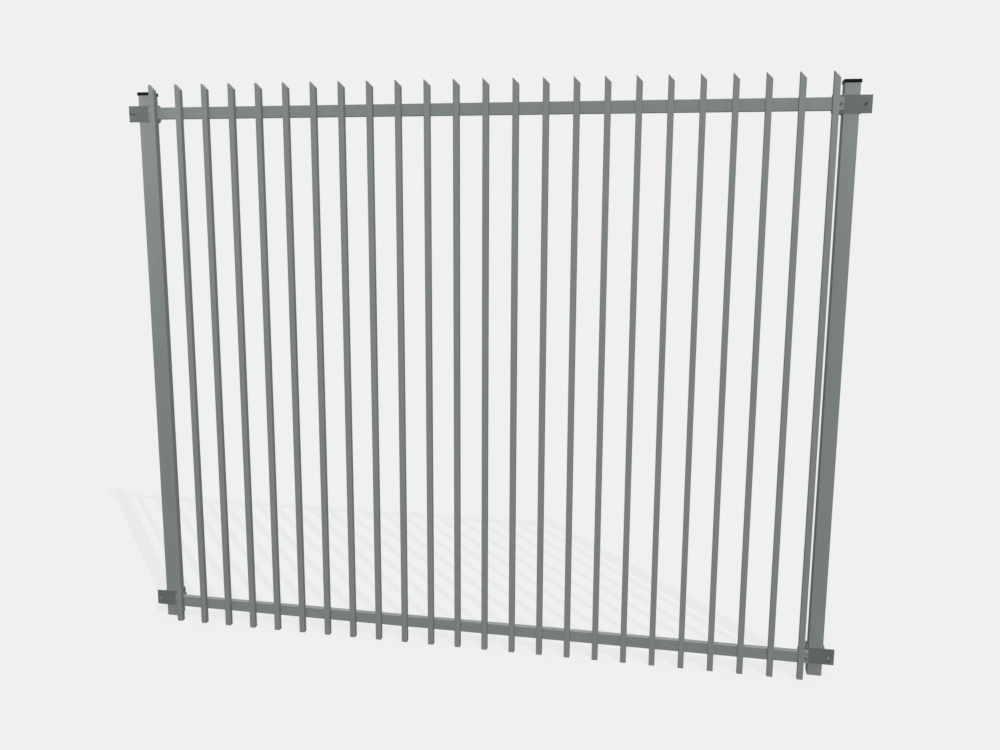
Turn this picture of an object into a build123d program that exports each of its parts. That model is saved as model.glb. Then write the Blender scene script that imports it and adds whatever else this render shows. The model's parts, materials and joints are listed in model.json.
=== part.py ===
from build123d import *
import os

# Palisade fence panel: slant-topped pales on two rails, hung between two posts by collar brackets.
# Millimetres. X runs along the fence, Y from the pale side (front) to the back, Z up from the feet.

# Pales: square tubes, closed at the top by a plate set flush in the slanted cut
pale_count = 24
pale_pitch = 125.0
pale_side = 25.0
pale_wall = 2.0
pale_height = 2495.0
tip_angle = 45.0
tip_plate = 2.0
tip_clearance = 0.1

# Rails: rectangular tubes behind the pales
rail_height = 50.0
rail_depth = 25.0
rail_wall = 2.0
rail_overhang = 20.0
bottom_rail_rise = 65.0
top_rail_drop = 95.0

# Posts, clear of the rail ends, and their slip-over caps
post_side = 60.0
post_wall = 3.0
post_rise = 65.0
post_clearance = 2.0
cap_wall = 3.0
cap_roof = 5.5
cap_skirt = 9.0
cap_chamfer = 2.0
cap_clearance = 0.5

# Collar brackets: a flat plate on the front of the post and a strap bent round its sides and back
plate_wing = 46.0
plate_margin = 10.0
plate_thickness = 4.0
strap_thickness = 6.0
strap_bend = 3.0
strap_clearance = 1.0

# Studs welded to the fronts of the plates, and the nuts that hold the rails on them
stud_diameter = 10.0
stud_chamfer = 1.0
neighbour_stud_setback = 20.0
rail_hole_clearance = 0.5
nut_width = 16.0
nut_height = 8.0
nut_clearance = 0.05
thread_show = 2.0

# Weld beads
weld_leg = 5.0
weld_inset = 4.0

# Heights
bottom_rail_centre = bottom_rail_rise + rail_height / 2
top_rail_top = pale_height - top_rail_drop
top_rail_centre = top_rail_top - rail_height / 2
post_height = top_rail_top + post_rise
plate_height = rail_height + 2 * plate_margin

# Depths, front to back, with the middle of the whole depth at zero
pale_front = -(pale_side + rail_depth + plate_thickness + post_side + strap_thickness) / 2
pale_back = pale_front + pale_side
rail_back = pale_back + rail_depth
plate_back = rail_back + plate_thickness
post_back = plate_back + post_side
strap_back = post_back + strap_thickness
pale_middle = pale_front + pale_side / 2
rail_middle = pale_back + rail_depth / 2
post_middle = plate_back + post_side / 2

# Places along the fence, each the same distance left and right of the middle
pale_places = [(number - (pale_count - 1) / 2) * pale_pitch for number in range(pale_count)]
pales_end = pale_places[-1] + pale_side / 2
rail_end = pales_end + rail_overhang
post_place = rail_end + post_clearance + post_side / 2
panel_stud_place = pales_end + rail_overhang / 2
neighbour_stud_place = post_place + post_side / 2 + neighbour_stud_setback
rail_centres = {"bottom": bottom_rail_centre, "top": top_rail_centre}
sides = {"left": -1, "right": 1}

# Sizes that follow from the fits
tip_side = pale_side - 2 * pale_wall - 2 * tip_clearance
stud_length = rail_depth + nut_height + thread_show
nut_corner_radius = nut_width / 3**0.5
cap_hollow = post_side + 2 * cap_clearance
cap_side = cap_hollow + 2 * cap_wall
strap_inside = post_side / 2 + strap_clearance
strap_outside = strap_inside + strap_thickness

os.makedirs("parts", exist_ok=True)


def keep(part, name):
    """Labels a finished piece and writes it as its own file."""
    part.label = name
    export_step(part, f"parts/{name}.step")


def tube_section(width, height, wall):
    """Hollow section with corners rolled as wide as its wall, drawn into the sketch that calls it."""
    RectangleRounded(width, height, wall)
    Rectangle(width - 2 * wall, height - 2 * wall, mode=Mode.SUBTRACT)


def tip_plane(sink):
    """Plane of the slanted cut of a pale at X = 0, high on the left, sunk square to itself by sink."""
    corner = (-pale_side / 2, pale_middle, pale_height)
    return Plane(origin=corner, z_dir=Vector(0, 0, 1).rotate(Axis.Y, tip_angle)).offset(-sink)


def at_corners(place, across):
    """The four points, left and right at both rails, that lie place from the middle at depth across."""
    return [(sign * place, across, centre) for centre in rail_centres.values() for sign in sides.values()]


# Pales
with BuildPart() as pale_master:
    with BuildSketch() as pale_profile:
        with Locations((0, pale_middle)):
            tube_section(pale_side, pale_side, pale_wall)
    extrude(amount=pale_height)
    split(bisect_by=tip_plane(0), keep=Keep.BOTTOM)

for number, place in enumerate(pale_places, start=1):
    with BuildPart() as pale:
        with Locations((place, 0, 0)):
            add(pale_master.part)
    keep(pale.part, f"pale_{number:02d}")

# Pale tips: the plates that close the slanted cuts
with BuildPart() as tip_master:
    with BuildSketch() as tip_profile:
        with Locations((0, pale_middle)):
            Rectangle(tip_side, tip_side)
    extrude(amount=pale_height)
    split(bisect_by=tip_plane(0), keep=Keep.BOTTOM)
    split(bisect_by=tip_plane(tip_plate), keep=Keep.TOP)

with BuildPart() as pale_tips:
    with Locations(*[(place, 0, 0) for place in pale_places]):
        add(tip_master.part)
keep(pale_tips.part, "pale_tips")

# Rails, drilled through near each end for a stud
for level, centre in rail_centres.items():
    with BuildPart() as rail:
        with BuildSketch(Plane.YZ.offset(-rail_end)) as rail_profile:
            with Locations((rail_middle, centre)):
                tube_section(rail_depth, rail_height, rail_wall)
        extrude(amount=2 * rail_end)
        with BuildSketch(Plane.XZ.offset(-rail_back)) as rail_holes:
            with Locations((-panel_stud_place, centre), (panel_stud_place, centre)):
                Circle(stud_diameter / 2 + rail_hole_clearance)
        extrude(amount=rail_depth, mode=Mode.SUBTRACT)
    keep(rail.part, f"{level}_rail")

# Posts
for side, sign in sides.items():
    with BuildPart() as post:
        with BuildSketch() as post_profile:
            with Locations((sign * post_place, post_middle)):
                tube_section(post_side, post_side, post_wall)
        extrude(amount=post_height)
    keep(post.part, f"{side}_post")

# Post caps: moulded cups over the tops of the posts
for side, sign in sides.items():
    with BuildPart() as cap:
        with BuildSketch(Plane.XY.offset(post_height - cap_skirt)) as cap_outline:
            with Locations((sign * post_place, post_middle)):
                RectangleRounded(cap_side, cap_side, cap_clearance + cap_wall)
        extrude(amount=cap_skirt + cap_roof)
        chamfer(cap.edges().group_by(Axis.Z)[-1], cap_chamfer)
        with BuildSketch(Plane.XY.offset(post_height - cap_skirt)) as cap_mouth:
            with Locations((sign * post_place, post_middle)):
                Rectangle(cap_hollow, cap_hollow)
        extrude(amount=cap_skirt, mode=Mode.SUBTRACT)
    keep(cap.part, f"{side}_post_cap")

# Bracket plates: flat bars across the post fronts
for level, centre in rail_centres.items():
    for side, sign in sides.items():
        with BuildPart() as plate:
            with BuildSketch(Plane.XZ.offset(-plate_back)) as plate_outline:
                with Locations((sign * post_place, centre)):
                    Rectangle(post_side + 2 * plate_wing, plate_height)
            extrude(amount=plate_thickness)
        keep(plate.part, f"{level}_{side}_bracket_plate")

# Post straps: flat bars bent round the sides and back of the post, with their ends on the plate
for level, centre in rail_centres.items():
    for side, sign in sides.items():
        middle = sign * post_place
        with BuildPart() as strap:
            with BuildSketch(Plane.XY.offset(centre - plate_height / 2)) as strap_profile:
                with BuildLine() as strap_outline:
                    outer = FilletPolyline(
                        (middle - strap_outside, plate_back),
                        (middle - strap_outside, strap_back),
                        (middle + strap_outside, strap_back),
                        (middle + strap_outside, plate_back),
                        radius=strap_bend + strap_thickness,
                    )
                    inner = FilletPolyline(
                        (middle - strap_inside, plate_back),
                        (middle - strap_inside, post_back),
                        (middle + strap_inside, post_back),
                        (middle + strap_inside, plate_back),
                        radius=strap_bend,
                    )
                    Line(outer @ 0, inner @ 0)
                    Line(outer @ 1, inner @ 1)
                make_face()
            extrude(amount=plate_height)
        keep(strap.part, f"{level}_{side}_post_strap")

# Studs, standing forwards from the fronts of the plates
with BuildPart() as stud_master:
    with BuildSketch(Plane.XZ) as stud_profile:
        Circle(stud_diameter / 2)
    extrude(amount=stud_length)
    chamfer(stud_master.edges().group_by(Axis.Y)[0], stud_chamfer)

for name, place in {"panel_studs": panel_stud_place, "neighbour_studs": neighbour_stud_place}.items():
    with BuildPart() as studs:
        with Locations(*at_corners(place, rail_back)):
            add(stud_master.part)
    keep(studs.part, name)

# Nuts on the panel studs, with flats to the pale and the post
with BuildPart() as nut_master:
    with BuildSketch(Plane.XZ) as nut_profile:
        RegularPolygon(nut_corner_radius, 6, rotation=30)
        Circle(stud_diameter / 2 + nut_clearance, mode=Mode.SUBTRACT)
    extrude(amount=nut_height)

with BuildPart() as panel_nuts:
    with Locations(*at_corners(panel_stud_place, pale_back)):
        add(nut_master.part)
keep(panel_nuts.part, "panel_nuts")

# Rail welds: beads in the corners between the back of each pale and the top and bottom of a rail
with BuildPart() as rail_bead:
    with BuildSketch(Plane.YZ) as rail_bead_profile:
        Triangle(c=weld_leg, a=weld_leg, B=90, align=(Align.MIN, Align.MIN))
    extrude(amount=pale_side / 2 - weld_inset, both=True)

for level, centre in rail_centres.items():
    with BuildPart() as rail_welds:
        with Locations(*[(place, pale_back, centre + rail_height / 2) for place in pale_places]):
            add(rail_bead.part)
        with Locations(*[(place, pale_back, centre - rail_height / 2) for place in pale_places]):
            add(rail_bead.part, rotation=(-90, 0, 0))
    keep(rail_welds.part, f"{level}_rail_welds")

# Bracket welds: upright beads that join the ends of each strap to the back of its plate
with BuildPart() as bracket_bead:
    with BuildSketch() as bracket_bead_profile:
        Triangle(c=weld_leg, a=weld_leg, B=90, align=(Align.MIN, Align.MIN))
    extrude(amount=plate_height / 2 - weld_inset, both=True)

with BuildPart() as bracket_welds:
    for middle, across, centre in at_corners(post_place, plate_back):
        with Locations((middle + strap_outside, across, centre)):
            add(bracket_bead.part)
        with Locations((middle - strap_outside, across, centre)):
            add(bracket_bead.part, rotation=(0, 0, 90))
keep(bracket_welds.part, "bracket_welds")
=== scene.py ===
"""Palisade fence panel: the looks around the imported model, in metres, in its frame."""
import json
import math
import random

import bmesh
import bpy
from mathutils import Matrix, Vector

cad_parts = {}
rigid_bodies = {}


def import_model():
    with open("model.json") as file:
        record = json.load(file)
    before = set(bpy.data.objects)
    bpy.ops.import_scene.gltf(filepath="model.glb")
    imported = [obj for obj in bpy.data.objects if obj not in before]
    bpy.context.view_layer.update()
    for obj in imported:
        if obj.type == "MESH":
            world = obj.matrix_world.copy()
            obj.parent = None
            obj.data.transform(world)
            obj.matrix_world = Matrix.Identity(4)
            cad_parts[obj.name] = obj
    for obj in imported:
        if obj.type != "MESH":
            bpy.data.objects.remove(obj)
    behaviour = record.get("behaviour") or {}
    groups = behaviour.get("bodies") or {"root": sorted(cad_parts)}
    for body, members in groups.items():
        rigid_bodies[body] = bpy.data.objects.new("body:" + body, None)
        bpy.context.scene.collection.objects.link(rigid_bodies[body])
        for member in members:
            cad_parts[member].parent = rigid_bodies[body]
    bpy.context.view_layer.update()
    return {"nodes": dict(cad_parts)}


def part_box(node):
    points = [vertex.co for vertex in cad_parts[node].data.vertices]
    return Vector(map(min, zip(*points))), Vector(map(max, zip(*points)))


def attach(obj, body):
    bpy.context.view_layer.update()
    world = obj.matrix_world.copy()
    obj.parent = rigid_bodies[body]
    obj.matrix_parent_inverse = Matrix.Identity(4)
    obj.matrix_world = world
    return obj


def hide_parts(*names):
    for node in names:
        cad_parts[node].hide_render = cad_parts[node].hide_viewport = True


for left_over in list(bpy.data.objects):
    bpy.data.objects.remove(left_over)

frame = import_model()
nodes = frame["nodes"]
scene = bpy.context.scene

SEED = 24
rng = random.Random(SEED)

LEVELS = ("bottom", "top")
SIDES = ("left", "right")
CORNERS = [f"{level}_{side}" for level in LEVELS for side in SIDES]
PALES = [name for name in sorted(nodes) if name.startswith("pale_") and name != "pale_tips"]
ALONG_X = Vector((1, 0, 0))
BACKWARD = Vector((0, 1, 0))
UP = Vector((0, 0, 1))

# Studs: an M10 thread on a stud that is welded to its plate, with a collar of flash round its foot
STUD_RADIUS = 0.005
STUD_TIP_RADIUS = 0.0039
STUD_PLAIN = 0.0022
STUD_FLASH = 0.0004
STUD_FLASH_RISE = 0.0008
STUD_END = 0.0022
STUD_COATED = 0.017
STUD_SIDES = 28
THREAD_PITCH = 0.0015
THREAD_DEPTH = 0.00092
THREAD_CREST = 0.125
THREAD_ROOT = 0.25
THREAD_ROWS = 8

# Nuts: hexagons whose faces are turned to a cone
NUT_WIDTH = 0.016
NUT_BORE = 0.00505
NUT_LEAD = 0.0006
NUT_FACE = 0.47 * NUT_WIDTH
NUT_CHAMFER = math.radians(30)
NUT_EDGE = 0.00025
NUT_SIDES = 72

# Weld beads: fillets with a hollow waist, ripples that lag in the middle, and ends that run out
BEAD_LEG = 0.005
BEAD_LEAST_LEG = 0.92
BEAD_INSET = 0.004
BEAD_WAIST = 0.17
BEAD_RIPPLE = 0.0017
BEAD_SWELL = 0.045
BEAD_LAG = 0.30
BEAD_RUN_OUT = 0.003
BEAD_BLUNT = 0.02
BEAD_ARC = 8
BEAD_STEPS_PER_RIPPLE = 6

# Seams round the tip plates: low ridges on the slanted cuts, their section in shares of half width and rise
TIP_SLOPE = math.radians(45)
SEAM_HALF_WIDTH = 0.0008
SEAM_RISE = 0.00022
SEAM_LEAST_RISE = 0.75
SEAM_SINK = 0.0003
SEAM_STEPS = 14
SEAM_SECTION = ((-1.0, -1.0), (-1.0, 0.0), (-0.5, 0.75), (0.0, 1.0), (0.5, 0.75), (1.0, 0.0), (1.0, -1.0))

# Post caps: moulded cups with soft edges, a slight crown and the mark of the gate in the middle
CAP_WALL = 0.003
CAP_ROOF = 0.0055
CAP_CORNER = 0.0035
CAP_INSIDE_CORNER = 0.0015
CAP_MOUTH_CORNER = 0.0018
CAP_CORNER_STEPS = 7
CAP_LIP = 0.0005
CAP_DRAFT = 0.0003
CAP_FILLET = 0.0024
CAP_FILLET_STEPS = 6
CAP_CROWN = 0.0006
CAP_ROOF_RINGS = (0.85, 0.7, 0.5, 0.3, 0.15)
CAP_SQUARENESS = 0.88
CAP_GATE = 0.0022
CAP_GATE_RIM = 0.00275
CAP_GATE_SINK = 0.0003

# Colours, linear
COAT = (0.2115, 0.2350, 0.2265)
BRACKET_COAT = (0.1235, 0.140, 0.134)
DUST = (0.270, 0.262, 0.240)
# Painted shade, darkening the corners of the coat
CORNER_SHADE = (0.050, 0.052, 0.048)
BARE_EDGE = (0.360, 0.372, 0.368)
CAP_BLACK = (0.0048, 0.0056, 0.0058)
CAP_SCUFF = (0.022, 0.023, 0.023)
STUD_DARK = (0.240, 0.250, 0.245)
STUD_LIGHT = (0.400, 0.410, 0.400)
# Painted shade on the under side of the studs
STUD_UNDERSIDE_SHADE = (0.050, 0.051, 0.048)
NUT_DARK = (0.186, 0.206, 0.198)
NUT_LIGHT = (0.232, 0.253, 0.244)
# Painted shade on the under side of the nuts
NUT_UNDERSIDE_SHADE = (0.150, 0.164, 0.158)
SAWN_DARK = (0.036, 0.041, 0.038)
SAWN_LIGHT = (0.068, 0.075, 0.070)
DULL_DARK = (0.108, 0.118, 0.113)
DULL_LIGHT = (0.155, 0.167, 0.161)
RUST = (0.160, 0.078, 0.036)
WHITE = (1.0, 1.0, 1.0, 1.0)

# Finishes: roughness from smooth to rough, depth of relief, and how far dust, painted corner shade and wear
# reach
COAT_SWING = 0.115
COAT_ROUGHNESS = (0.62, 0.78)
COAT_RELIEF = 0.00018
DUST_HEIGHT = 0.40
DUST_COVER = 0.22
DUST_ROUGHNESS = 0.7
CORNER_SHADE_REACH = 0.010
EDGE_RADIUS = 0.0007
TUBE_WEAR = 0.60
BRACKET_WEAR = 0.55
CAP_ROUGHNESS = (0.42, 0.58)
CAP_RELIEF = 0.00008
MATT_SPECULAR = 0.10
FASTENER_ROUGHNESS = (0.34, 0.55)
FASTENER_RELIEF = 0.00004
FASTENER_METAL = 0.10
RUST_REACH = 0.0015
NODE_SAMPLES = 4

# Streaks of the coat per metre in X, Y and Z: drawn out along a tube, or even on a bracket
UPRIGHT_GRAIN = (170.0, 170.0, 2.6)
LEVEL_GRAIN = (2.6, 170.0, 170.0)
EVEN_GRAIN = (70.0, 70.0, 70.0)
SCRATCH_GRAIN = (60.0, 700.0, 200.0)

# Floor and backdrop: levels of grey as light, and distances from the middle
BACKGROUND = 0.871
FLOOR_GLOW = 0.8036
FLOOR_SHARE = 0.053
FLOOR_ALBEDO = 0.78
FLOOR_BOUNCE = 0.083
FLOOR_REACH = 400.0
FLOOR_FADE = (4.0, 9.0)

# Light from the dome: an even part, and lobes with their direction, sharpness and strength
WORLD_EVEN = 0.18
WORLD_LOBES = (
    (Vector((0.0, 0.0, 1.0)), 16.0, 4.0),
    (Vector((0.0, 0.90, 0.42)).normalized(), 2.0, 0.40),
)

# Far lamps: the way their light travels, their energy, and their width in degrees
KEY_TRAVEL = (-0.596, 0.735, -1.0)
KEY_ENERGY = 1.6 * math.pi
KEY_WIDTH = 0.3
FILL_WIDTH = 20.0
FILLS = {
    "right_fill": ((-0.6, 0.775, -0.2), 1.50),
    "front_fill": ((0.15, 0.97, -0.2), 0.67),
    "top_fill": ((0.0, 0.0, -1.0), 1.80),
    "back_fill": ((0.0, -1.0, 0.0), 1.70),
}

# Camera, fitted to the photograph
FOCAL_SHARE = 0.96358
SENSOR_WIDTH = 36.0
VIEW_REACH = 1000.0
CAMERA_PLACE = Vector((0.9182, -4.0531, 1.9819))
YAW = math.radians(11.166)
PITCH = math.radians(-9.98)
ROLL = math.radians(0.301)


# Node helpers

def add_node(tree, kind, sockets=None, **settings):
    """A new node with its settings, and its sockets set to values or joined to other nodes' outputs."""
    made = tree.nodes.new(kind)
    for key, value in settings.items():
        setattr(made, key, value)
    for key, value in (sockets or {}).items():
        if isinstance(value, bpy.types.NodeSocket):
            tree.links.new(value, made.inputs[key])
        else:
            made.inputs[key].default_value = value
    return made


def noise(tree, vector, per_metre, octaves=3.0, roughness=0.55):
    """Cloudy noise around a half, with so many features to a metre."""
    sockets = {"Vector": vector, "Scale": per_metre, "Detail": octaves, "Roughness": roughness}
    return add_node(tree, "ShaderNodeTexNoise", sockets).outputs["Fac"]


def remap(tree, value, low, high, to_low=0.0, to_high=1.0):
    """The value, moved from one range to another and held inside it."""
    sockets = {"Value": value, "From Min": low, "From Max": high, "To Min": to_low, "To Max": to_high}
    return add_node(tree, "ShaderNodeMapRange", sockets).outputs["Result"]


def math_node(tree, operation, first, second):
    return add_node(tree, "ShaderNodeMath", {0: first, 1: second}, operation=operation).outputs[0]


def product(tree, first, *others):
    """All the values multiplied together."""
    for other in others:
        first = math_node(tree, "MULTIPLY", first, other)
    return first


def weighted_sum(tree, *parts):
    """The sum of values, each times its weight."""
    total = product(tree, *parts[0])
    for part in parts[1:]:
        total = math_node(tree, "ADD", total, product(tree, *part))
    return total


def any_of(tree, first, *others):
    """1 where any of the values is 1."""
    for other in others:
        first = math_node(tree, "MAXIMUM", first, other)
    return first


def dot_product(tree, first, second):
    made = add_node(tree, "ShaderNodeVectorMath", {0: first, 1: second}, operation="DOT_PRODUCT")
    return made.outputs["Value"]


def upward_part(tree, vector):
    """The Z component of a place or a normal."""
    return add_node(tree, "ShaderNodeSeparateXYZ", {0: vector}).outputs["Z"]


def stretched(tree, vector, scale):
    return add_node(tree, "ShaderNodeMapping", {"Vector": vector, "Scale": scale}).outputs["Vector"]


def mix_colour(tree, factor, first, second):
    """From the first colour to the second, each a socket or a plain colour."""
    first = first if isinstance(first, bpy.types.NodeSocket) else (*first, 1.0)
    second = second if isinstance(second, bpy.types.NodeSocket) else (*second, 1.0)
    made = add_node(tree, "ShaderNodeMix", {0: factor, 6: first, 7: second}, data_type="RGBA")
    return made.outputs[2]


def mix_shader(tree, factor, first, second):
    return add_node(tree, "ShaderNodeMixShader", {0: factor, 1: first.outputs[0], 2: second.outputs[0]})


def scaled(colour, factor):
    return tuple(channel * factor for channel in colour)


def grey(level):
    return (level, level, level, 1.0)


def true_normal(tree):
    return add_node(tree, "ShaderNodeNewGeometry").outputs["True Normal"]


def openness(tree, reach):
    """1 in the open, less in corners that are narrower than reach."""
    made = add_node(tree, "ShaderNodeAmbientOcclusion", {"Distance": reach}, samples=NODE_SAMPLES)
    return made.outputs["AO"]


def rounded_normal(tree, radius):
    """The normal as if every edge were rounded to a radius."""
    made = add_node(tree, "ShaderNodeBevel", {"Radius": radius}, samples=NODE_SAMPLES)
    return made.outputs["Normal"]


def new_material(name):
    """An empty node material: its tree, its principled shader and the object coordinates."""
    made = bpy.data.materials.new(name)
    made.use_nodes = True
    tree = made.node_tree
    tree.nodes.clear()
    shader = add_node(tree, "ShaderNodeBsdfPrincipled")
    add_node(tree, "ShaderNodeOutputMaterial", {"Surface": shader.outputs["BSDF"]})
    coordinates = add_node(tree, "ShaderNodeTexCoord").outputs["Object"]
    return made, tree, shader, coordinates


def join_finish(tree, shader, colour, roughness, relief):
    """Joins a colour, a roughness and a relief, given as the sockets of a bump node, to a shader."""
    bump = add_node(tree, "ShaderNodeBump", relief).outputs["Normal"]
    tree.links.new(colour, shader.inputs["Base Color"])
    tree.links.new(roughness, shader.inputs["Roughness"])
    tree.links.new(bump, shader.inputs["Normal"])


# Materials

def coat_tone(tree, spot, grain, mottle, speck):
    """From the dark to the light tone of the coat: mottling, streaks, specks and powder grain."""
    streak = noise(tree, stretched(tree, spot, grain), per_metre=1.0, octaves=4.0, roughness=0.6)
    broad = weighted_sum(tree, (mottle, 0.50), (streak, 0.32), (speck, 0.18))
    powder = noise(tree, spot, per_metre=620.0, octaves=3.0, roughness=0.6)
    return weighted_sum(tree, (remap(tree, broad, 0.34, 0.66), 0.5), (remap(tree, powder, 0.32, 0.68), 0.5))


def coat_dust(tree, spot, normal):
    """Share of dust: splashed up from the ground, and settled on the ledges."""
    low_down = remap(tree, upward_part(tree, spot), DUST_HEIGHT, 0.0)
    splash = remap(tree, noise(tree, spot, per_metre=17.0, octaves=6.0, roughness=0.7), 0.42, 0.72)
    ledge = remap(tree, upward_part(tree, normal), 0.5, 0.95)
    patch = remap(tree, noise(tree, spot, per_metre=60.0, octaves=4.0), 0.35, 0.75)
    splashed = product(tree, low_down, low_down, splash)
    settled = product(tree, ledge, patch)
    return math_node(tree, "MAXIMUM", splashed, settled)


def coat_corner_shade(tree, mottle):
    """Share of painted shade: darkening in the corners, as patchy as the mottling."""
    corner = remap(tree, openness(tree, CORNER_SHADE_REACH), 0.55, 0.10)
    return product(tree, corner, remap(tree, mottle, 0.35, 0.65, to_low=0.15, to_high=0.40))


def coat_wear(tree, spot, normal, rounded, edge_wear):
    """Share of bare metal: flecks along the edges, where the rounded normal leaves the true one."""
    edge = remap(tree, dot_product(tree, rounded, normal), 0.995, 0.90)
    flecks = remap(tree, noise(tree, spot, per_metre=130.0, octaves=5.0, roughness=0.7), 0.53, 0.58)
    return product(tree, edge, flecks, edge_wear)


def coat_material(name, colour, grain, edge_wear):
    """Powder coat on steel: mottled, streaked along the tube, with orange peel, dust, worn edges and
    painted shade in the corners.
    """
    made, tree, shader, spot = new_material(name)
    normal = true_normal(tree)
    rounded = rounded_normal(tree, EDGE_RADIUS)
    mottle = noise(tree, spot, per_metre=3.4, octaves=5.0, roughness=0.62)
    speck = noise(tree, spot, per_metre=240.0, octaves=2.0)
    tone = coat_tone(tree, spot, grain, mottle, speck)
    dust = coat_dust(tree, spot, normal)
    wear = coat_wear(tree, spot, normal, rounded, edge_wear)

    clean = mix_colour(tree, tone, scaled(colour, 1.0 - COAT_SWING), scaled(colour, 1.0 + COAT_SWING))
    dusty = mix_colour(tree, product(tree, dust, DUST_COVER), clean, DUST)
    # Painted shade: the corners are darkened, patchy with the mottling
    corner_shaded = mix_colour(tree, coat_corner_shade(tree, mottle), dusty, CORNER_SHADE)
    worn = mix_colour(tree, wear, corner_shaded, BARE_EDGE)

    sheen = remap(tree, math_node(tree, "ADD", mottle, speck), 0.7, 1.3, *COAT_ROUGHNESS)
    roughness = math_node(tree, "MAXIMUM", sheen, product(tree, dust, DUST_ROUGHNESS))
    peel = noise(tree, spot, per_metre=520.0, octaves=2.0)
    wave = noise(tree, spot, per_metre=38.0, octaves=1.0)
    ripple = weighted_sum(tree, (peel, 0.9), (wave, 1.0))
    relief = {"Strength": 1.0, "Distance": COAT_RELIEF, "Height": ripple, "Normal": rounded}
    join_finish(tree, shader, worn, roughness, relief)
    shader.inputs["Specular IOR Level"].default_value = MATT_SPECULAR
    return made


def cap_material():
    """Black moulded plastic with a fine sparked grain and a few pale scuffs."""
    made, tree, shader, spot = new_material("cap_plastic_moulded")
    grain = noise(tree, spot, per_metre=900.0, octaves=2.0)
    cloud = noise(tree, spot, per_metre=40.0, octaves=4.0)
    scratch = noise(tree, stretched(tree, spot, SCRATCH_GRAIN), per_metre=1.0)
    scuff = product(tree, remap(tree, scratch, 0.60, 0.74), remap(tree, cloud, 0.45, 0.70, to_high=0.6))
    colour = mix_colour(tree, scuff, CAP_BLACK, CAP_SCUFF)
    roughness = remap(tree, cloud, 0.3, 0.7, *CAP_ROUGHNESS)
    relief = {"Strength": 0.6, "Distance": CAP_RELIEF, "Height": grain}
    join_finish(tree, shader, colour, roughness, relief)
    shader.inputs["Specular IOR Level"].default_value = MATT_SPECULAR
    return made


def fastener_material(name, dark, light, underside_shade):
    """Plated steel: rubbed bright in places, with painted shade on the under side, and a little rust in the
    roots.
    """
    made, tree, shader, spot = new_material(name)
    cloud = noise(tree, spot, per_metre=130.0, octaves=5.0, roughness=0.65)
    stain = noise(tree, spot, per_metre=420.0)
    rubbed = mix_colour(tree, remap(tree, cloud, 0.46, 0.70, to_high=0.55), dark, light)
    # Painted shade: faces turned downwards are darkened towards the under side colour
    facing_up = remap(tree, upward_part(tree, true_normal(tree)), -0.35, 0.80)
    shaded = mix_colour(tree, facing_up, underside_shade, rubbed)
    root = remap(tree, openness(tree, RUST_REACH), 0.7, 0.2)
    rust = product(tree, root, remap(tree, stain, 0.48, 0.66, to_high=0.5))
    colour = mix_colour(tree, rust, shaded, RUST)
    roughness = remap(tree, stain, 0.3, 0.7, *FASTENER_ROUGHNESS)
    relief = {"Strength": 0.4, "Distance": FASTENER_RELIEF, "Height": stain}
    join_finish(tree, shader, colour, roughness, relief)
    shader.inputs["Metallic"].default_value = FASTENER_METAL
    return made


upright_coat = coat_material("coated_steel_upright", COAT, UPRIGHT_GRAIN, TUBE_WEAR)
level_coat = coat_material("coated_steel_level", COAT, LEVEL_GRAIN, TUBE_WEAR)
bracket_coat = coat_material("bracket_steel_coat", BRACKET_COAT, EVEN_GRAIN, BRACKET_WEAR)
cap_plastic = cap_material()
stud_steel = fastener_material("zinc_steel_stud", STUD_DARK, STUD_LIGHT, STUD_UNDERSIDE_SHADE)
nut_steel = fastener_material("zinc_steel_nut", NUT_DARK, NUT_LIGHT, NUT_UNDERSIDE_SHADE)
sawn_steel = fastener_material("zinc_steel_sawn", SAWN_DARK, SAWN_LIGHT, SAWN_DARK)
dulled_steel = fastener_material("zinc_steel_dulled", DULL_DARK, DULL_LIGHT, DULL_DARK)


def dress(material, names):
    """Gives carried-over CAD nodes their finish."""
    for name in names:
        nodes[name].data.materials.clear()
        nodes[name].data.materials.append(material)


dress(upright_coat, PALES + ["pale_tips"])
dress(upright_coat, [f"{side}_post" for side in SIDES])
dress(level_coat, [f"{level}_rail" for level in LEVELS])
dress(bracket_coat, [f"{corner}_bracket_plate" for corner in CORNERS])
dress(bracket_coat, [f"{corner}_post_strap" for corner in CORNERS])


# Mesh helpers

def join_rows(mesh, loops, ring=False):
    """Loops of equal length as rows of vertices, joined by quads, in a ring also the last to the first."""
    rows = [[mesh.verts.new(point) for point in loop] for loop in loops]
    followers = rows[1:] + rows[:1] if ring else rows[1:]
    for one, other in zip(rows, followers):
        for i in range(len(one)):
            j = (i + 1) % len(one)
            mesh.faces.new((one[i], one[j], other[j], other[i]))
    return rows


def add_tube(mesh, loops, tip=None):
    """A closed skin over loops: flat at the first, and at the last flat or drawn to a tip by triangles."""
    rows = join_rows(mesh, loops)
    mesh.faces.new(list(reversed(rows[0])))
    last = rows[-1]
    if tip is None:
        mesh.faces.new(last)
        return
    middle = mesh.verts.new(tip)
    for i, vertex in enumerate(last):
        mesh.faces.new((vertex, last[(i + 1) % len(last)], middle))


def off_axis(axis, radius, angle, depth):
    """A point round an axis that runs from front to back through axis, its X and Z."""
    return Vector((axis[0] + radius * math.cos(angle), depth, axis[1] + radius * math.sin(angle)))


def make_piece(name, mesh, material, replaced, sharp_angle):
    """A finished piece that rides on the panel and stands for CAD nodes."""
    bmesh.ops.recalc_face_normals(mesh, faces=mesh.faces)
    data = bpy.data.meshes.new(name)
    mesh.to_mesh(data)
    mesh.free()
    data.polygons.foreach_set("use_smooth", [True] * len(data.polygons))
    data.set_sharp_from_angle(angle=math.radians(sharp_angle))
    data.materials.append(material)
    piece = bpy.data.objects.new(name, data)
    scene.collection.objects.link(piece)
    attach(piece, "root")
    if replaced:
        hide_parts(*replaced)
    return piece


# Studs with rolled threads

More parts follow.
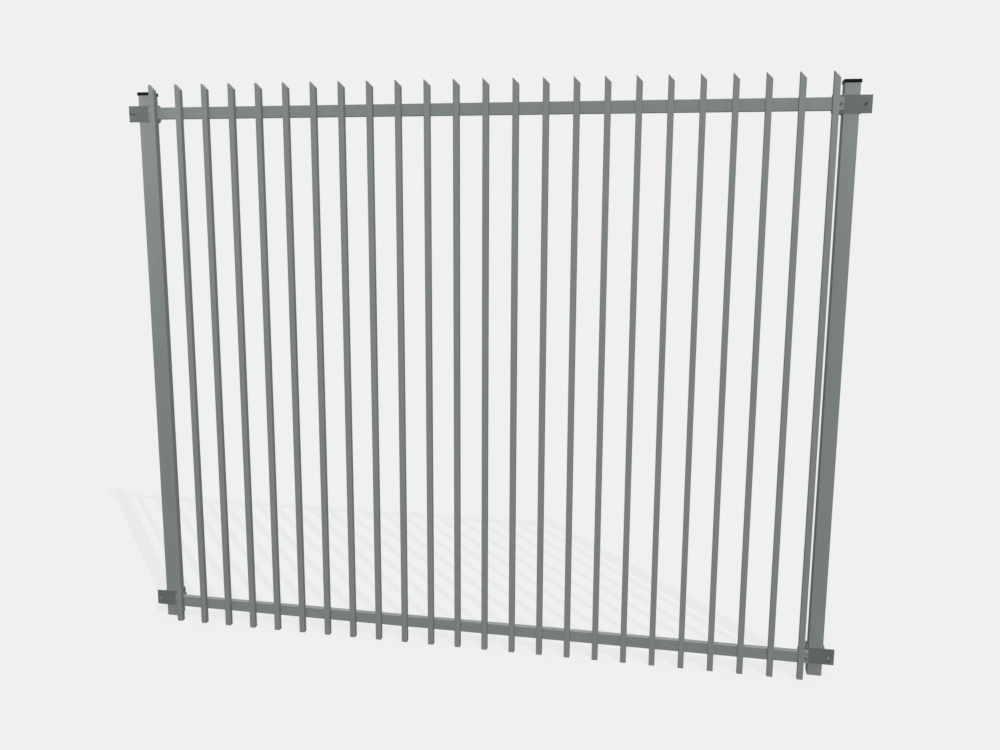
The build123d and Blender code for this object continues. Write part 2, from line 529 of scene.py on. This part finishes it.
def thread_radius(phase):
    """Radius of the rolled thread at a part of its pitch: crest, flank, root, flank."""
    flank = (1.0 - THREAD_CREST - THREAD_ROOT) / 2
    fall = min(1.0, max(0.0, (phase - THREAD_CREST) / flank), (1.0 - phase) / flank)
    return STUD_RADIUS - THREAD_DEPTH * fall


def add_stud(mesh, axis, front, back):
    """A stud on its axis, from its foot on a plate at back to its tip at front."""
    length = back - front
    rows = round(length / THREAD_PITCH * THREAD_ROWS)
    start = rng.random()
    loops = []
    for row in range(rows + 1):
        along = length * row / rows
        loop = []
        for step in range(STUD_SIDES):
            turn = step / STUD_SIDES
            if along < STUD_PLAIN:
                radius = STUD_RADIUS + STUD_FLASH * max(0.0, 1.0 - along / STUD_FLASH_RISE) ** 2
            else:
                radius = thread_radius((along / THREAD_PITCH - turn + start) % 1.0)
            radius = min(radius, STUD_TIP_RADIUS + length - along)
            loop.append(off_axis(axis, radius, turn * math.tau, back - along))
        loops.append(loop)
    add_tube(mesh, loops, tip=off_axis(axis, 0.0, 0.0, front))


def stud_axes(node):
    """X and Z of the four axes of a group of studs, left and right at both rails."""
    low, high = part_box(node)
    return [(x, z) for x in (low.x + STUD_RADIUS, high.x - STUD_RADIUS)
            for z in (low.z + STUD_RADIUS, high.z - STUD_RADIUS)]


def make_studs(name, group, end_steel, coated):
    """A group of studs, with ends of their own steel and feet that are coated along with the plates."""
    low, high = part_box(group)
    mesh = bmesh.new()
    for axis in stud_axes(group):
        add_stud(mesh, axis, low.y, high.y)
    piece = make_piece(name, mesh, stud_steel, [group], sharp_angle=50.0)
    piece.data.materials.append(end_steel)
    piece.data.materials.append(bracket_coat)
    for face in piece.data.polygons:
        if face.center.y < low.y + STUD_END:
            face.material_index = 1
        elif face.center.y > high.y - coated:
            face.material_index = 2


make_studs("panel_stud_threads", "panel_studs", dulled_steel, coated=0.0)
make_studs("neighbour_stud_threads", "neighbour_studs", sawn_steel, coated=STUD_COATED)


# Nuts with turned faces

def hex_radius(angle):
    """Distance from a nut's axis to its flank, with a flat towards the pale and the post."""
    off_flat = (angle + math.pi / 6) % (math.pi / 3) - math.pi / 6
    flank = NUT_WIDTH / 2 / math.cos(off_flat)
    return min(flank, NUT_WIDTH / math.sqrt(3) - NUT_EDGE)


def add_nut(mesh, axis, front, back):
    """A hexagon nut on a stud's axis, its faces turned to a cone and its bore opened at both ends."""
    sections = []
    for step in range(NUT_SIDES):
        angle = step * math.tau / NUT_SIDES
        flank = hex_radius(angle)
        turned = max(0.0, (flank - NUT_FACE) * math.tan(NUT_CHAMFER))
        section = (
            (NUT_BORE, back - NUT_LEAD),
            (NUT_BORE + NUT_LEAD, back),
            (NUT_FACE, back),
            (flank, back - turned),
            (flank, front + turned),
            (NUT_FACE, front),
            (NUT_BORE + NUT_LEAD, front),
            (NUT_BORE, front + NUT_LEAD),
        )
        sections.append([off_axis(axis, radius, angle, depth) for radius, depth in section])
    join_rows(mesh, sections, ring=True)


def make_nuts():
    """The nuts on the panel's studs, as one piece."""
    low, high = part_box("panel_nuts")
    mesh = bmesh.new()
    for axis in stud_axes("panel_studs"):
        add_nut(mesh, axis, low.y, high.y)
    make_piece("panel_nut_hexes", mesh, nut_steel, ["panel_nuts"], sharp_angle=24.0)


make_nuts()


# Weld beads with ripples

def add_bead(mesh, root, along, first, second, length):
    """A fillet weld that runs along a corner at root, with its legs on the first and second faces."""
    steps = round(length / BEAD_RIPPLE * BEAD_STEPS_PER_RIPPLE)
    shift = rng.random()
    leg = BEAD_LEG * rng.uniform(BEAD_LEAST_LEG, 1.0)
    loops = []
    for step in range(steps + 1):
        reach = (step / steps - 0.5) * length
        to_end = (length / 2 - abs(reach)) / BEAD_RUN_OUT
        taper = math.sqrt(min(1.0, max(BEAD_BLUNT, to_end) * (2.0 - min(1.0, to_end))))
        spine = root + along * reach
        loop = [spine]
        for part in range(BEAD_ARC + 1):
            angle = part / BEAD_ARC * math.pi / 2
            bulge = math.sin(2.0 * angle)
            wave = math.sin(math.tau * (reach / BEAD_RIPPLE + BEAD_LAG * bulge + shift))
            radius = leg * taper * (1.0 - BEAD_WAIST * bulge) * (1.0 + BEAD_SWELL * wave * bulge)
            loop.append(spine + first * (radius * math.cos(angle)) + second * (radius * math.sin(angle)))
        loops.append(loop)
    add_tube(mesh, loops)


def make_rail_welds(level):
    """Beads behind every pale, along the top and the bottom of a rail."""
    rail_low, rail_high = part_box(f"{level}_rail")
    mesh = bmesh.new()
    for pale in PALES:
        low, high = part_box(pale)
        middle = (low.x + high.x) / 2
        run = high.x - low.x - 2 * BEAD_INSET
        add_bead(mesh, Vector((middle, high.y, rail_high.z)), ALONG_X, BACKWARD, UP, run)
        add_bead(mesh, Vector((middle, high.y, rail_low.z)), ALONG_X, BACKWARD, -UP, run)
    make_piece(f"{level}_rail_weld_beads", mesh, level_coat, [f"{level}_rail_welds"],
               sharp_angle=60.0)


def make_bracket_welds():
    """Upright beads where the ends of each strap meet the back of its plate."""
    mesh = bmesh.new()
    for corner in CORNERS:
        low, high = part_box(f"{corner}_post_strap")
        plate_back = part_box(f"{corner}_bracket_plate")[1].y
        middle = (low.z + high.z) / 2
        run = high.z - low.z - 2 * BEAD_INSET
        add_bead(mesh, Vector((low.x, plate_back, middle)), UP, -ALONG_X, BACKWARD, run)
        add_bead(mesh, Vector((high.x, plate_back, middle)), UP, ALONG_X, BACKWARD, run)
    make_piece("bracket_weld_beads", mesh, bracket_coat, ["bracket_welds"],
               sharp_angle=60.0)


for level in LEVELS:
    make_rail_welds(level)
make_bracket_welds()


# Seams round the tip plates

def square_walk(steps):
    """Points round the square from -1 to 1, with so many steps to a side."""
    corners = ((-1, -1), (1, -1), (1, 1), (-1, 1))
    walk = []
    for (x0, y0), (x1, y1) in zip(corners, corners[1:] + corners[:1]):
        for step in range(steps):
            share = step / steps
            walk.append((x0 + (x1 - x0) * share, y0 + (y1 - y0) * share))
    return walk


def add_seam(mesh, middle, half, top_left, height):
    """A dressed weld on a slanted cut, round the tip plate with this middle and half size in plan."""
    lift = Vector((math.sin(TIP_SLOPE), 0.0, math.cos(TIP_SLOPE)))
    loops = []
    for across, along in square_walk(SEAM_STEPS):
        rise = SEAM_RISE * rng.uniform(SEAM_LEAST_RISE, 1.0)
        loop = []
        for aside, share in SEAM_SECTION:
            x = middle[0] + across * (half[0] + aside * SEAM_HALF_WIDTH)
            y = middle[1] + along * (half[1] + aside * SEAM_HALF_WIDTH)
            on_cut = Vector((x, y, height - (x - top_left) * math.tan(TIP_SLOPE)))
            loop.append(on_cut + lift * share * (rise if share > 0 else SEAM_SINK))
        loops.append(loop)
    join_rows(mesh, loops, ring=True)


def make_tip_seams():
    """The seams of all the pales, as one piece."""
    tips_low, tips_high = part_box("pale_tips")
    last_low, last_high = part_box(PALES[-1])
    half = (tips_high.x - (last_low.x + last_high.x) / 2, (tips_high.y - tips_low.y) / 2)
    mesh = bmesh.new()
    for pale in PALES:
        low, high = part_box(pale)
        middle = ((low.x + high.x) / 2, (tips_low.y + tips_high.y) / 2)
        add_seam(mesh, middle, half, low.x, high.z)
    make_piece("tip_seams", mesh, upright_coat, [], sharp_angle=60.0)


make_tip_seams()


# Post caps, moulded with soft edges

def square_loop(middle, half, radius, height):
    """A level square with rounded corners, as a loop of points."""
    points = []
    for quarter in range(4):
        turn = quarter * math.pi / 2
        out = half - radius
        centre_x = out * (math.cos(turn) - math.sin(turn))
        centre_y = out * (math.sin(turn) + math.cos(turn))
        for step in range(CAP_CORNER_STEPS + 1):
            angle = turn + step / CAP_CORNER_STEPS * math.pi / 2
            x = middle[0] + centre_x + radius * math.cos(angle)
            y = middle[1] + centre_y + radius * math.sin(angle)
            points.append(Vector((x, y, height)))
    return points


def round_loop(middle, radius, height):
    """A level circle as a loop of points, in step with the points of a square loop."""
    count = 4 * (CAP_CORNER_STEPS + 1)
    turns = [(step + 0.5) / count * math.tau for step in range(count)]
    return [Vector((middle[0] + radius * math.cos(turn), middle[1] + radius * math.sin(turn), height))
            for turn in turns]


def make_cap(side):
    """A cup over a post: out of its hollow, round the lip, up the outside and over to the gate mark."""
    low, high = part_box(f"{side}_post_cap")
    middle = ((low.x + high.x) / 2, (low.y + high.y) / 2)
    half = (high.x - low.x) / 2
    hollow = half - CAP_WALL
    loops = [
        square_loop(middle, hollow, CAP_INSIDE_CORNER, high.z - CAP_ROOF),
        square_loop(middle, hollow, CAP_INSIDE_CORNER, low.z + CAP_LIP),
        square_loop(middle, hollow + CAP_LIP, CAP_MOUTH_CORNER, low.z),
        square_loop(middle, half - CAP_LIP, CAP_CORNER - CAP_LIP, low.z),
        square_loop(middle, half, CAP_CORNER, low.z + CAP_LIP),
    ]
    for step in range(CAP_FILLET_STEPS + 1):
        angle = step / CAP_FILLET_STEPS * math.pi / 2
        inward = CAP_DRAFT + CAP_FILLET * (1.0 - math.cos(angle))
        drop = CAP_CROWN + CAP_FILLET * (1.0 - math.sin(angle))
        loops.append(square_loop(middle, half - inward, CAP_CORNER - inward, high.z - drop))
    for share in CAP_ROOF_RINGS:
        reach = half * share
        radius = reach * (1.0 - CAP_SQUARENESS * share)
        loops.append(square_loop(middle, reach, radius, high.z - CAP_CROWN * share ** 2))
    gate_floor = high.z - CAP_GATE_SINK
    loops.append(round_loop(middle, CAP_GATE_RIM, high.z))
    loops.append(round_loop(middle, CAP_GATE, gate_floor))
    mesh = bmesh.new()
    add_tube(mesh, loops, tip=Vector((*middle, gate_floor)))
    make_piece(f"{side}_moulded_cap", mesh, cap_plastic, [f"{side}_post_cap"],
               sharp_angle=50.0)


for side in SIDES:
    make_cap(side)


# Floor and world

def seen_rays(tree):
    """1 for the rays that show the background: camera, glossy and transmission rays."""
    path = add_node(tree, "ShaderNodeLightPath")
    return any_of(tree, *(path.outputs[f"Is {kind} Ray"] for kind in ("Camera", "Glossy", "Transmission")))


def emission(tree, strength):
    return add_node(tree, "ShaderNodeEmission", {"Color": WHITE, "Strength": strength})


def matt(tree, level):
    return add_node(tree, "ShaderNodeBsdfDiffuse", {"Color": grey(level)})


def floor_material():
    """Pale floor: it takes faint shadows near the panel, fades into the backdrop and throws little back."""
    made = bpy.data.materials.new("floor_pale")
    made.use_nodes = True
    tree = made.node_tree
    tree.nodes.clear()
    near = mix_shader(tree, FLOOR_SHARE, emission(tree, FLOOR_GLOW), matt(tree, FLOOR_ALBEDO))
    place = add_node(tree, "ShaderNodeNewGeometry").outputs["Position"]
    distance = add_node(tree, "ShaderNodeVectorMath", {0: place}, operation="LENGTH").outputs["Value"]
    fade = remap(tree, distance, *FLOOR_FADE)
    fade.node.interpolation_type = "SMOOTHSTEP"
    shown = mix_shader(tree, fade, near, emission(tree, BACKGROUND))
    chosen = mix_shader(tree, seen_rays(tree), matt(tree, FLOOR_BOUNCE), shown)
    add_node(tree, "ShaderNodeOutputMaterial", {"Surface": chosen.outputs[0]})
    return made


def make_floor():
    """A floor that reaches past the view on every side."""
    mesh = bmesh.new()
    bmesh.ops.create_grid(mesh, x_segments=1, y_segments=1, size=FLOOR_REACH)
    data = bpy.data.meshes.new("floor")
    mesh.to_mesh(data)
    mesh.free()
    data.materials.append(floor_material())
    floor = bpy.data.objects.new("floor", data)
    scene.collection.objects.link(floor)
    return floor


def make_world():
    """A dome that lights the panel from above and behind, and shows as a plain pale backdrop."""
    world = bpy.data.worlds.new("studio")
    scene.world = world
    world.use_nodes = True
    tree = world.node_tree
    tree.nodes.clear()
    direction = add_node(tree, "ShaderNodeTexCoord").outputs["Generated"]
    light = WORLD_EVEN
    for towards, sharpness, strength in WORLD_LOBES:
        facing = math_node(tree, "MAXIMUM", dot_product(tree, direction, towards), 0.0)
        lobe = math_node(tree, "POWER", facing, sharpness)
        light = math_node(tree, "ADD", product(tree, lobe, strength), light)
    dome = add_node(tree, "ShaderNodeBackground", {"Color": WHITE, "Strength": light})
    backdrop = add_node(tree, "ShaderNodeBackground", {"Color": grey(BACKGROUND), "Strength": 1.0})
    chosen = mix_shader(tree, seen_rays(tree), dome, backdrop)
    add_node(tree, "ShaderNodeOutputWorld", {"Surface": chosen.outputs[0]})


floor = make_floor()
make_world()


# Lamps: the key lights the floor alone, and the others light the panel without shadows on it

floor_only = bpy.data.collections.new("floor_only")
floor_only.objects.link(floor)


def soft_fill(lamp_object):
    """Keeps a lamp out of reflections and lets only the floor stop its light."""
    lamp_object.visible_glossy = False
    lamp_object.light_linking.blocker_collection = floor_only


def softbox(name, place, towards, size, power, spread=140.0):
    """A soft area lamp behind a grid that narrows its beam to a spread in degrees, unseen by the camera."""
    lamp = bpy.data.lights.new(name, "AREA")
    lamp.shape = "RECTANGLE"
    lamp.size, lamp.size_y = size
    lamp.energy = power
    lamp.spread = math.radians(spread)
    made = bpy.data.objects.new(name, lamp)
    scene.collection.objects.link(made)
    made.location = place
    made.rotation_euler = (Vector(towards) - Vector(place)).to_track_quat("-Z", "Y").to_euler()
    made.visible_camera = False
    soft_fill(made)


def sun_lamp(name, travel, energy, width):
    """A far lamp whose light travels one way."""
    lamp = bpy.data.lights.new(name, "SUN")
    lamp.energy = energy
    lamp.angle = math.radians(width)
    made = bpy.data.objects.new(name, lamp)
    scene.collection.objects.link(made)
    made.rotation_euler = Vector(travel).to_track_quat("-Z", "Y").to_euler()
    return made


key = sun_lamp("key", KEY_TRAVEL, KEY_ENERGY, KEY_WIDTH)
key.light_linking.receiver_collection = floor_only
for name, (travel, energy) in FILLS.items():
    soft_fill(sun_lamp(name, travel, energy, FILL_WIDTH))

softbox("top_softbox", place=(0.2, -2.6, 3.7), towards=(0.0, -0.06, 2.3), size=(3.4, 0.8), power=4.0,
        spread=100.0)
softbox("left_softbox", place=(-2.1, -0.41, 2.9), towards=(-1.5, -0.02, 2.9), size=(0.3, 2.9), power=3.6)
softbox("left_spot", place=(-2.0, -0.41, 2.55), towards=(-1.5, -0.02, 2.5), size=(0.3, 0.3), power=0.55)
softbox("right_softbox", place=(2.0, -0.5, 2.5), towards=(1.5, -0.02, 2.3), size=(0.3, 0.3), power=0.85)


# Camera

def make_camera():
    """The photograph's camera, turned by its yaw and pitch and then rolled about its view."""
    camera = bpy.data.cameras.new("camera")
    camera.sensor_fit = "HORIZONTAL"
    camera.sensor_width = SENSOR_WIDTH
    camera.lens = SENSOR_WIDTH * FOCAL_SHARE
    camera.clip_end = VIEW_REACH
    made = bpy.data.objects.new("camera", camera)
    scene.collection.objects.link(made)
    forward = Vector((-math.sin(YAW) * math.cos(PITCH), math.cos(YAW) * math.cos(PITCH), math.sin(PITCH)))
    right = Vector((math.cos(YAW), math.sin(YAW), 0.0))
    upward = right.cross(forward)
    rolled_right = math.cos(ROLL) * right + math.sin(ROLL) * upward
    rolled_up = math.cos(ROLL) * upward - math.sin(ROLL) * right
    turn = Matrix((rolled_right, rolled_up, -forward)).transposed()
    made.matrix_world = Matrix.Translation(CAMERA_PLACE) @ turn.to_4x4()
    return made


scene.camera = make_camera()
scene.view_settings.view_transform = "Standard"
